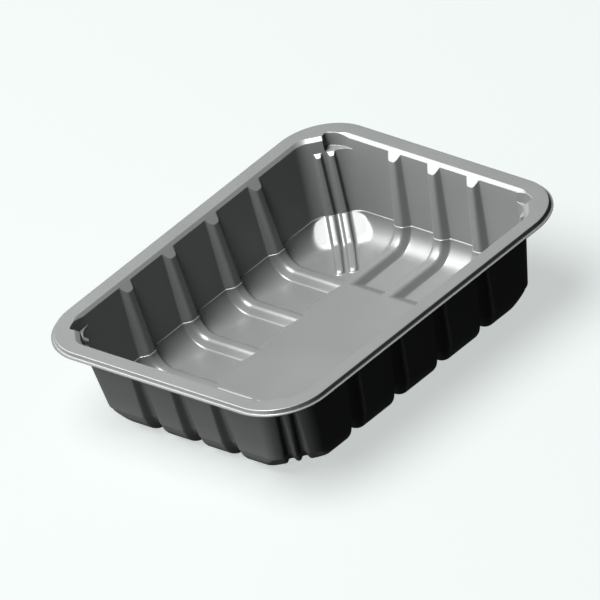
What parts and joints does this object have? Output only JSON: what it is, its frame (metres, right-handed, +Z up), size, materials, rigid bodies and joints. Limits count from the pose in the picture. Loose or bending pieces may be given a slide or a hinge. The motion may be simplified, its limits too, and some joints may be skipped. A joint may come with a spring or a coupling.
{
  "type": "food tray",
  "caption": "Rectangular formed plastic food tray with a flat sealing flange, drafted ribbed walls, facetted corners with stacking pockets and a raised panel in the floor.",
  "frame": {"origin": "middle of the tray's length and width, on the plane it stands on", "axes": "+X along the tray's width, +Y along its length, +Z up out of the open top"},
  "size_m": [0.178, 0.227, 0.054],
  "materials": {
    "tray_plastic": "semi-gloss black, slightly smoother on the panel than on the walls"
  },
  "bodies": {
    "root": {"tray": "tray_plastic"}
  },
  "joints": []
}
